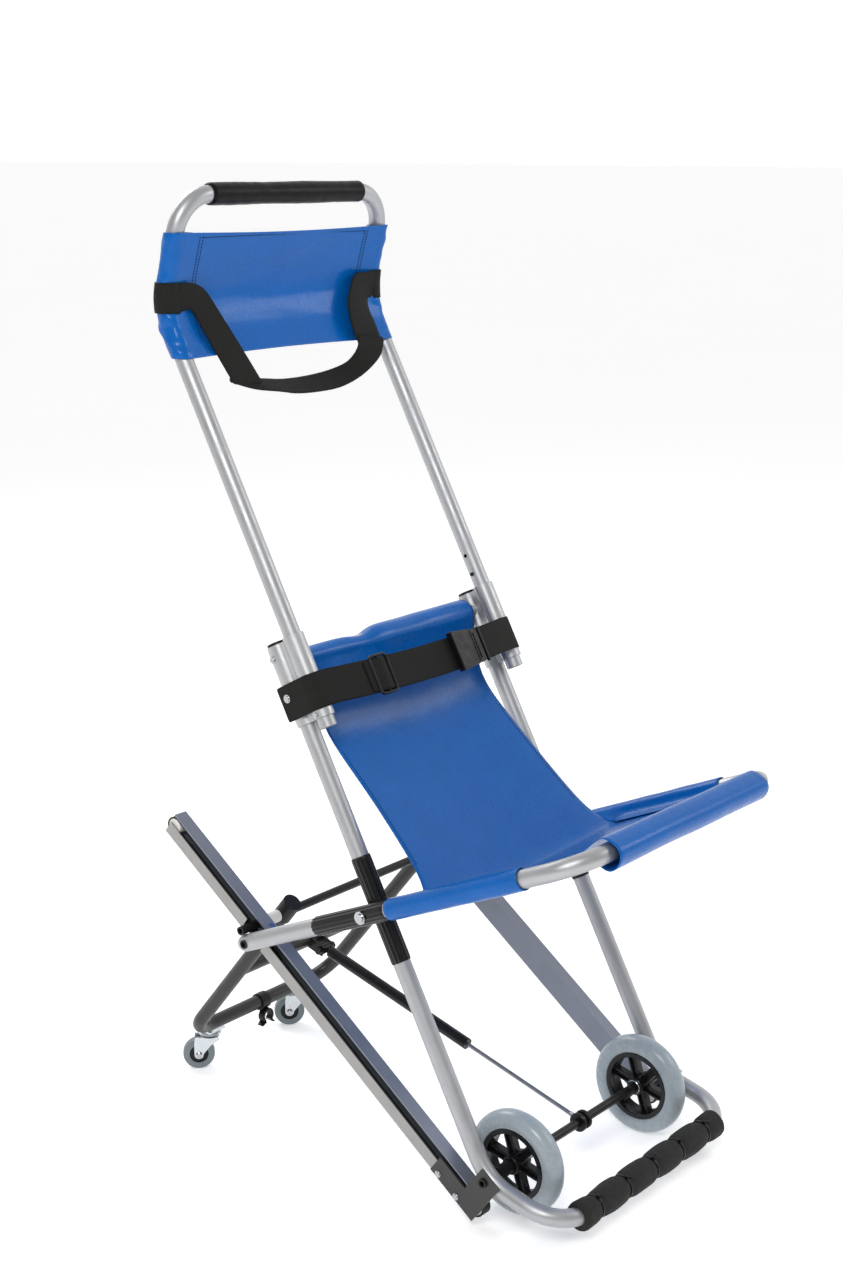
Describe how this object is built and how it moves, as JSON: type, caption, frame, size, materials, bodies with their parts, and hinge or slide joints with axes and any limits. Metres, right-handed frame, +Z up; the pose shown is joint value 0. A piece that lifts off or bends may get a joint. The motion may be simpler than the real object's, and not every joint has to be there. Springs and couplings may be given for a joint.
{
  "type": "stair chair",
  "caption": "Folding evacuation stair chair with sloping belt tracks, big front wheels, rear castor frame, fabric sling seat, chest belt and telescoping push handle.",
  "frame": {"origin": "centre of the footprint's bounding box, on the floor", "axes": "+Z up; the seat faces -Y; +X is the sitter's left-hand side seen from the front as the viewer's right"},
  "size_m": [0.52, 0.8419, 1.372],
  "materials": {
    "silver_tube": "satin",
    "black_plastic": "matte",
    "black_metal": "satin",
    "dark_grey_metal": "satin",
    "foam": "matte",
    "blue_fabric": "coated",
    "webbing": "matte",
    "tyre_grey": "matte",
    "hub_black": "semi gloss",
    "track_blue": "satin",
    "strip_light": "satin",
    "belt_rubber": "matte",
    "chrome_part": "polished",
    "zinc": "zinc plated",
    "white_nylon": "matte",
    "castor_rubber": "matte",
    "strut_paint": "gloss"
  },
  "bodies": {
    "frame": {"main_tube": "silver_tube", "foot_foam": "foam", "foot_ties": "black_plastic", "clamp_left": "silver_tube", "clamp_right": "silver_tube", "tube_plugs": "black_plastic", "clamp_screws": "chrome_part", "back_crossbar": "silver_tube", "pivot_sleeves": "black_plastic", "wheel_axle": "black_metal", "axle_bushes": "black_plastic", "chest_belt": "webbing", "belt_adjuster": "black_plastic", "buckle_body": "black_plastic", "buckle_prongs": "black_plastic", "sling_back": "blue_fabric"},
    "handle": {"handle_tube": "silver_tube", "handle_grip": "foam", "headrest": "blue_fabric", "head_strap": "webbing"},
    "button_left": {"snap_button_left": "chrome_part"},
    "button_right": {"snap_button_right": "chrome_part"},
    "seat": {"seat_frame": "silver_tube", "seat_end_plugs": "black_plastic", "seat_cross_pins": "black_metal", "seat_pivot_sleeves": "black_plastic", "seat_pivot_bolts": "chrome_part", "sling_seat": "blue_fabric"},
    "tracks": {"track_left": "track_blue", "track_right": "track_blue", "strip_left": "strip_light", "strip_right": "strip_light", "belt_left": "belt_rubber", "belt_right": "belt_rubber", "pulley_pins": "zinc", "bracket_left": "black_metal", "bracket_right": "black_metal", "track_screws": "chrome_part", "pivot_rod": "black_metal", "rod_spacers": "white_nylon"},
    "castor_arm": {"castor_frame": "dark_grey_metal", "leg_caps": "black_plastic", "upper_cross_tube": "dark_grey_metal", "strut_bracket": "black_metal", "stowage_clip": "black_plastic", "castor_plates": "zinc"},
    "strut_shaft": {"strut_rod": "zinc"},
    "strut_barrel": {"strut_cylinder": "strut_paint"},
    "wheel_left": {"tyre_left": "tyre_grey", "hub_left": "hub_black"},
    "wheel_right": {"tyre_right": "tyre_grey", "hub_right": "hub_black"},
    "castor_left": {"castor_fork_left": "zinc"},
    "castor_tread_left": {"castor_wheel_left": "castor_rubber"},
    "roller_low_left": {"pulley_low_left": "black_plastic"},
    "roller_top_left": {"pulley_top_left": "black_plastic"},
    "castor_right": {"castor_fork_right": "zinc"},
    "castor_tread_right": {"castor_wheel_right": "castor_rubber"},
    "roller_low_right": {"pulley_low_right": "black_plastic"},
    "roller_top_right": {"pulley_top_right": "black_plastic"}
  },
  "joints": [
    {"name": "track_fold", "type": "hinge", "parent": "frame", "child": "tracks", "pos_m": [0, -0.2548, 0.075], "axis": [1, 0, 0], "range_deg": [0, 24]},
    {"name": "seat_fold", "type": "hinge", "parent": "frame", "child": "seat", "pos_m": [0, -0.0622, 0.412], "axis": [-1, 0, 0], "range_deg": [0, 78], "deforming": ["sling_seat", "sling_back"]},
    {"name": "handle_slide", "type": "slide", "parent": "frame", "child": "handle", "axis": [0, -0.4818, -0.8763], "range_m": [0, 0.24]},
    {"name": "castor_frame_fold", "type": "hinge", "parent": "tracks", "child": "castor_arm", "pos_m": [0, 0.17056, 0.33038], "axis": [-1, 0, 0], "range_deg": [0, 92]},
    {"name": "strut_swing", "type": "hinge", "parent": "tracks", "child": "strut_shaft", "pos_m": [0, -0.2548, 0.075], "axis": [1, 0, 0], "range_deg": [0, 18.5]},
    {"name": "strut_slide", "type": "slide", "parent": "strut_shaft", "child": "strut_barrel", "axis": [0, -0.9648, -0.263], "range_m": [0, 0.146]},
    {"name": "button_left_press", "type": "slide", "parent": "handle", "child": "button_left", "axis": [-1, 0, 0], "range_m": [0, 0.0024], "stiffness_N_per_m": 400},
    {"name": "wheel_left_spin", "type": "hinge", "parent": "frame", "child": "wheel_left", "pos_m": [-0.153, -0.2548, 0.075], "axis": [1, 0, 0], "continuous": true},
    {"name": "castor_left_swivel", "type": "hinge", "parent": "castor_arm", "child": "castor_left", "pos_m": [-0.105, 0.3852, 0.06], "axis": [0, 0, 1], "continuous": true},
    {"name": "castor_left_roll", "type": "hinge", "parent": "castor_left", "child": "castor_tread_left", "pos_m": [-0.11788, 0.39777, 0.025], "axis": [0.6984, 0.7157, 0], "continuous": true},
    {"name": "roller_low_left_spin", "type": "hinge", "parent": "tracks", "child": "roller_low_left", "pos_m": [-0.2147, -0.23665, 0.03002], "axis": [1, 0, 0], "continuous": true},
    {"name": "roller_top_left_spin", "type": "hinge", "parent": "tracks", "child": "roller_top_left", "pos_m": [-0.2147, 0.32911, 0.44561], "axis": [1, 0, 0], "continuous": true},
    {"name": "button_right_press", "type": "slide", "parent": "handle", "child": "button_right", "axis": [1, 0, 0], "range_m": [0, 0.0024], "stiffness_N_per_m": 400},
    {"name": "wheel_right_spin", "type": "hinge", "parent": "frame", "child": "wheel_right", "pos_m": [0.153, -0.2548, 0.075], "axis": [1, 0, 0], "continuous": true},
    {"name": "castor_right_swivel", "type": "hinge", "parent": "castor_arm", "child": "castor_right", "pos_m": [0.105, 0.3852, 0.06], "axis": [0, 0, 1], "continuous": true},
    {"name": "castor_right_roll", "type": "hinge", "parent": "castor_right", "child": "castor_tread_right", "pos_m": [0.09212, 0.39777, 0.025], "axis": [0.6984, 0.7157, 0], "continuous": true},
    {"name": "roller_low_right_spin", "type": "hinge", "parent": "tracks", "child": "roller_low_right", "pos_m": [0.2147, -0.23665, 0.03002], "axis": [1, 0, 0], "continuous": true},
    {"name": "roller_top_right_spin", "type": "hinge", "parent": "tracks", "child": "roller_top_right", "pos_m": [0.2147, 0.32911, 0.44561], "axis": [1, 0, 0], "continuous": true}
  ],
  "couplings": [
    {"joint": "strut_swing", "follows": "castor_frame_fold", "ratio": 0.2},
    {"joint": "strut_slide", "follows": "castor_frame_fold", "m_per_rad": 0.0909},
    {"joint": "roller_low_left_spin", "follows": "roller_top_left_spin", "ratio": 1},
    {"joint": "roller_low_right_spin", "follows": "roller_top_right_spin", "ratio": 1}
  ]
}
